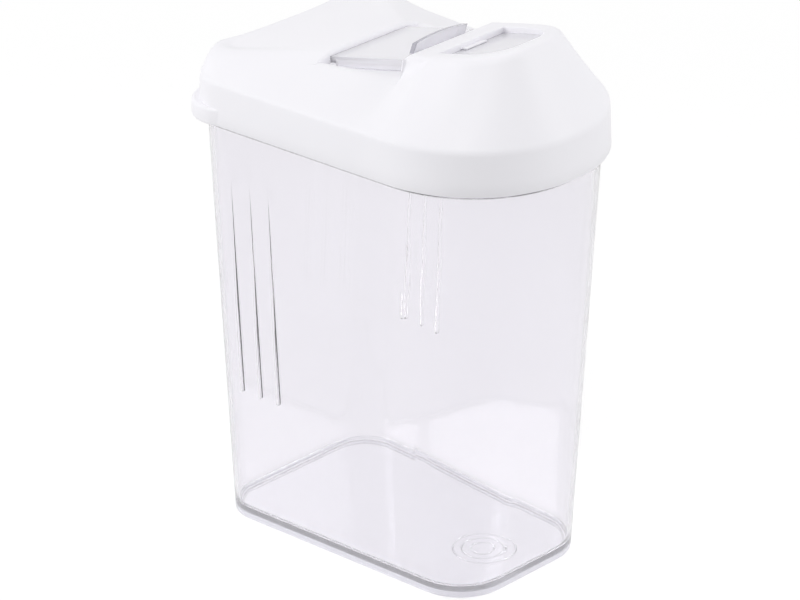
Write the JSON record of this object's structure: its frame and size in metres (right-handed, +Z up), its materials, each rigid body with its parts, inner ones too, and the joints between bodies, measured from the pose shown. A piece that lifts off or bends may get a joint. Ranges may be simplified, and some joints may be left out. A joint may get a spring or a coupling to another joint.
{
  "type": "dry food container with sliding pour spout",
  "caption": "Clear tapered dry food container with a white push-on lid that rises to a pouring spout, closed by a clear sliding shutter with a thumb tab.",
  "frame": {"origin": "in the resting plane, under the middle of the closed container's outer box", "axes": "+X towards the spout, +Z up, +Y completes the right-handed frame"},
  "size_m": [0.1646, 0.1244, 0.2375],
  "materials": {
    "clear_body": "clear and glossy, slightly cool",
    "white_lid": "satin white moulding",
    "clear_shutter": "clear and glossy"
  },
  "bodies": {
    "container_body": {"container": "clear_body"},
    "lid_body": {"lid": "white_lid"},
    "shutter_body": {"shutter": "clear_shutter"}
  },
  "joints": [
    {"name": "lid_lift", "type": "slide", "parent": "container_body", "child": "lid_body", "axis": [0, 0, 1], "range_m": [0, 0.06]},
    {"name": "shutter_slide", "type": "slide", "parent": "lid_body", "child": "shutter_body", "axis": [-0.9724, 0, -0.2334], "range_m": [0, 0.034]}
  ]
}
